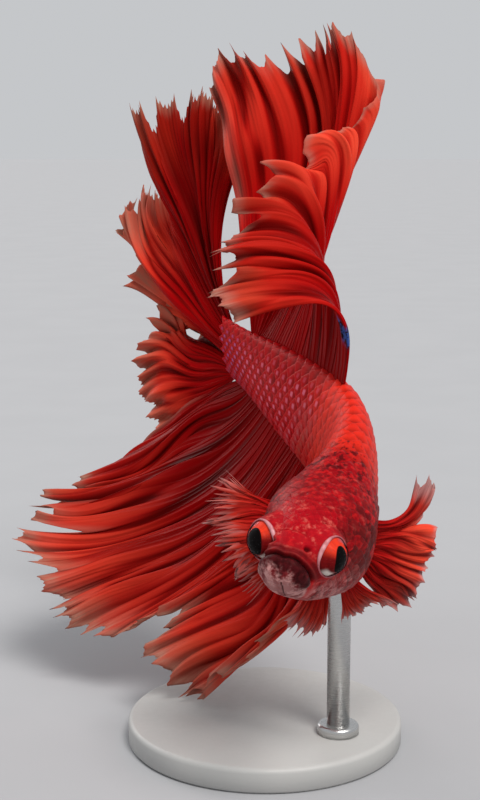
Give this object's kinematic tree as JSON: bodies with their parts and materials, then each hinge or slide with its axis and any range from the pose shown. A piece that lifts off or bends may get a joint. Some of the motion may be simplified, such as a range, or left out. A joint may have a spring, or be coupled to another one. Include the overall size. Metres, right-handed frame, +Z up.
{
  "type": "betta fish model",
  "caption": "Life-size male betta fish with long flowing fins, turned in mid-swim on a small round display stand.",
  "frame": {"origin": "middle of the underside of the stand's base", "axes": "+Z up, the fish's snout towards -Y, the fish's left side towards +X"},
  "size_m": [0.0343, 0.0528, 0.0569],
  "materials": {
    "skin": "wet scaled skin, deep crimson to orange red",
    "eye": "glossy eye, red iris round a black pupil",
    "fin": "thin rayed fin, crimson to orange at the margin",
    "small_fin": "thin rayed fin, orange red with pale ray tips",
    "stand_base": "satin light grey",
    "stand_rod": "plain steel rod"
  },
  "bodies": {
    "root": {"head": "skin", "lower_jaw": "skin", "trunk": "skin", "tail_stalk": "skin", "eye_left": "eye", "eye_right": "eye", "dorsal_fin": "fin", "tail_fin": "fin", "anal_fin": "fin", "pectoral_fin_left": "small_fin", "pectoral_fin_right": "small_fin", "pelvic_fin_left": "small_fin", "pelvic_fin_right": "small_fin", "stand_base": "stand_base", "stand_rod": "stand_rod"}
  },
  "joints": []
}
